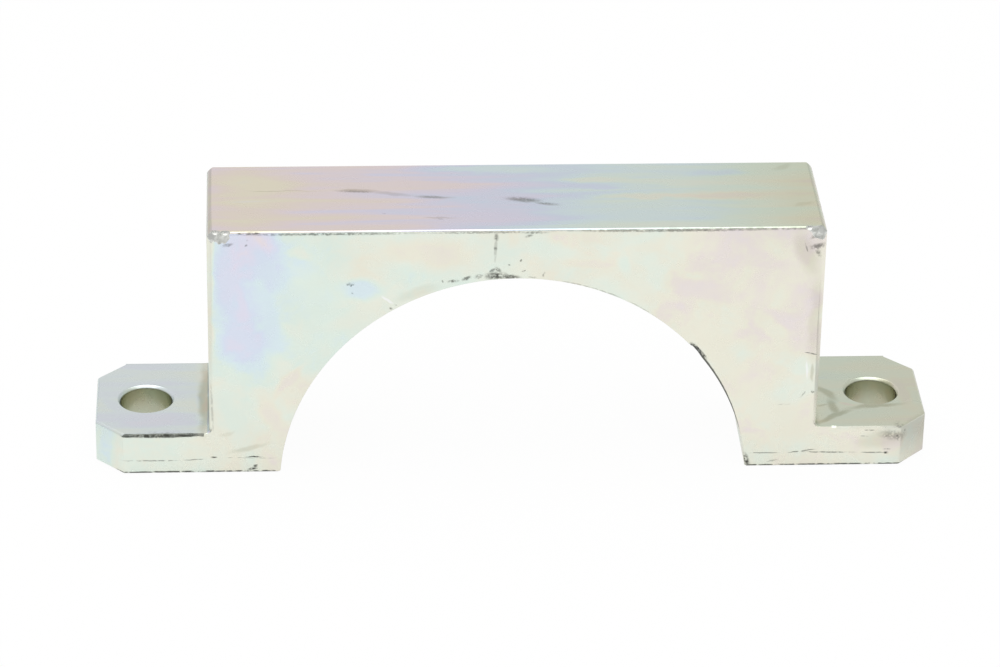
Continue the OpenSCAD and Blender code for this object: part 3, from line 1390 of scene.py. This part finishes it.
@dataclass(frozen=True)
class PhotoCamera:
    """A long lens that looks a little down on the clamp from the front."""

    place: tuple[float, float, float] = (-73.06 * MM, -1122.32 * MM, 659.33 * MM)
    heading: float = math.radians(3.56)
    downward: float = math.radians(29.11)
    roll: float = math.radians(1.13)
    lens: float = 161.6
    sensor: float = 36.0

    def add(self) -> Object:
        """Add the camera to the scene and look through it.

        Returns:
            The camera.
        """
        data = bpy.data.cameras.new("photo_camera")
        data.lens = self.lens
        data.sensor_width = self.sensor
        camera = bpy.data.objects.new("photo_camera", data)
        bpy.context.scene.collection.objects.link(camera)
        aim = Euler((math.pi / 2 - self.downward, 0, -self.heading)).to_matrix()
        tilt = Matrix.Rotation(self.roll, 3, "Z")
        camera.matrix_world = Matrix.Translation(self.place) @ (aim @ tilt).to_4x4()
        bpy.context.scene.camera = camera
        return camera


@dataclass(frozen=True)
class FloorShadowStrip:
    """A painted shadow on the floor beside an ear, seen only in reflections, with its places along X in
    metres.
    """

    start: float
    dimmest: float
    end: float
    share: float


FLOOR_SHADOW_STRIPS = (FloorShadowStrip(0.108, 0.132, 0.16, 0.32), FloorShadowStrip(-0.112, -0.142, -0.2, 0.8))


@dataclass(frozen=True)
class Studio:
    """A white floor, a soft lamp overhead and the pale room round them. Sizes are in metres."""

    floor_size: float = 60.0
    floor_gap: float = 0.02 * MM
    floor_colour: str = "FFFFFF"
    seen_share: float = 0.96
    mirrored_share: float = 0.6
    lamp_height: float = 1.2
    lamp_y: float = -0.17
    lamp_width: float = 1.6
    lamp_length: float = 1.34
    lamp_glow: float = 1.05
    wall: str = "E7E4E3"
    wall_right: str = "D2D2CF"
    wall_foot: str = "BEC0BE"
    shade: str = "34383E"
    # How far the floor's light reaches in reflections, and what is left of it beyond
    pool_reach: Point = (0.2, 0.8)
    pool_rest: float = 0.5
    # Where the room changes, as parts of the direction to the right, up, to the back and twice up
    right_from: Point = (0.03, 0.2)
    foot_from: Point = (0.35, 0.05)
    dark_from: Point = (-0.15, -0.45)
    band_foot: Point = (0.06, 0.14)
    band_head: Point = (0.48, 0.34)

    def add(self) -> None:
        """Add the floor, the lamp and the room to the scene."""
        self._add_floor()
        self._add_lamp()
        self._add_room()

    def _add_floor(self) -> None:
        """Add the floor, which is white to the camera and in reflections, and keeps a soft shadow."""
        bpy.ops.mesh.primitive_plane_add(size=self.floor_size, location=(0, 0, -self.floor_gap))
        floor = bpy.context.object
        floor.name = "floor"
        material = bpy.data.materials.new("white_paper_sweep")
        material.use_nodes = True
        tree = material.node_tree
        tree.nodes.clear()
        paper = add_node(tree, "BsdfDiffuse", {"Color": linear(self.floor_colour)})
        path = add_node(tree, "LightPath", {})
        mirrored = add_node(
            tree,
            "Math",
            {0: path.outputs["Is Glossy Ray"], 1: path.outputs["Is Transmission Ray"]},
            operation="MAXIMUM",
        )
        in_mirror = add_node(tree, "Math", {0: mirrored, 1: self.mirrored_share}, operation="MULTIPLY")
        in_view = add_node(
            tree, "Math", {0: path.outputs["Is Camera Ray"], 1: self.seen_share}, operation="MULTIPLY"
        )
        share = add_node(tree, "Math", {0: in_mirror, 1: in_view}, operation="MAXIMUM")
        pool = self._pool(tree)
        strength = add_node(tree, "Mix", {0: path.outputs["Is Camera Ray"], 2: pool, 3: 1.0})
        glow = add_node(tree, "Emission", {"Color": linear(self.floor_colour), "Strength": strength})
        mix = add_node(tree, "MixShader", {0: share, 1: paper, 2: glow})
        add_node(tree, "OutputMaterial", {"Surface": mix})
        floor.data.materials.append(material)

    def _pool(self, tree: NodeTree) -> Node:
        """Say how bright the floor is in reflections: less far off, and darker in a painted shadow close
        beside each ear.

        Args:
            tree: The floor's node tree.

        Returns:
            The brightness, from 0 to 1.
        """
        place = add_node(tree, "TexCoord", {}).outputs["Object"]
        along = add_node(tree, "SeparateXYZ", {0: place}).outputs["X"]
        far = add_node(tree, "VectorMath", {0: place}, operation="LENGTH")
        near, off = self.pool_reach
        pool = add_node(tree, "MapRange", {0: far, 1: near, 2: off, 3: 1.0, 4: self.pool_rest})
        # Painted shadow on the floor beside each ear, which only reflections show
        for strip in FLOOR_SHADOW_STRIPS:
            fade = {0: along, 1: strip.start, 2: strip.dimmest, 3: 1.0, 4: strip.share}
            side = add_node(tree, "MapRange", fade)
            clear = add_node(tree, "MapRange", {0: along, 1: strip.dimmest, 2: strip.end})
            lit = add_node(tree, "Math", {0: side, 1: clear}, operation="MAXIMUM")
            pool = add_node(tree, "Math", {0: pool, 1: lit}, operation="MULTIPLY")
        return pool

    def _add_lamp(self) -> None:
        """Add the soft lamp, which hangs a little in front of the clamp."""
        lamp = bpy.data.lights.new("soft_lamp", "AREA")
        lamp.shape = "RECTANGLE"
        lamp.size = self.lamp_width
        lamp.size_y = self.lamp_length
        lamp.energy = self.lamp_glow * math.pi * self.lamp_width * self.lamp_length
        holder = bpy.data.objects.new("soft_lamp", lamp)
        holder.location = (0, self.lamp_y, self.lamp_height)
        bpy.context.scene.collection.objects.link(holder)

    def _add_room(self) -> None:
        """Surround the clamp with pale walls, greyer low down and on the right, dark behind the camera."""
        world = bpy.data.worlds.new("pale_room")
        bpy.context.scene.world = world
        world.use_nodes = True
        tree = world.node_tree
        toward = add_node(tree, "TexCoord", {})
        axes = add_node(tree, "SeparateXYZ", {0: toward.outputs["Generated"]})
        start, full = self.right_from
        right = add_node(tree, "MapRange", {0: axes.outputs["X"], 1: start, 2: full})
        walls = add_node(
            tree, "Mix", {0: right, 6: linear(self.wall), 7: linear(self.wall_right)}, data_type="RGBA"
        )
        start, full = self.foot_from
        low_down = add_node(tree, "MapRange", {0: axes.outputs["Z"], 1: start, 2: full})
        walls = add_node(tree, "Mix", {0: low_down, 6: walls, 7: linear(self.wall_foot)}, data_type="RGBA")
        start, full = self.dark_from
        dark = add_node(
            tree, "MapRange", {0: axes.outputs["Y"], 1: start, 2: full}, interpolation_type="SMOOTHSTEP"
        )
        for outside, inside in (self.band_foot, self.band_head):
            band = add_node(
                tree,
                "MapRange",
                {0: axes.outputs["Z"], 1: outside, 2: inside},
                interpolation_type="SMOOTHSTEP",
            )
            dark = add_node(tree, "Math", {0: dark, 1: band}, operation="MULTIPLY")
        colour = add_node(tree, "Mix", {0: dark, 6: walls, 7: linear(self.shade)}, data_type="RGBA")
        tree.links.new(first_output(colour), tree.nodes["Background"].inputs["Color"])


def main() -> None:
    """Build the studio and the clamp, in order."""
    logging.basicConfig(level=logging.INFO, format="%(message)s")
    bpy.context.scene.view_settings.view_transform = "Standard"
    PhotoCamera().add()
    Studio().add()
    body = ClampBody.from_frame()
    nick_finish = BruisedZinc(name="zinc_plate_scraped", bright="8E908C", dark="3E3E3B", lump=0.8)
    clamp = body.build(ZincPlate(body).make(), BruisedZinc().make(), nick_finish.make())
    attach(clamp, "root")
    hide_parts("clamp_body")
    log.info("%s: %d faces", clamp.name, len(clamp.data.polygons))


if __name__ == "__main__":
    main()
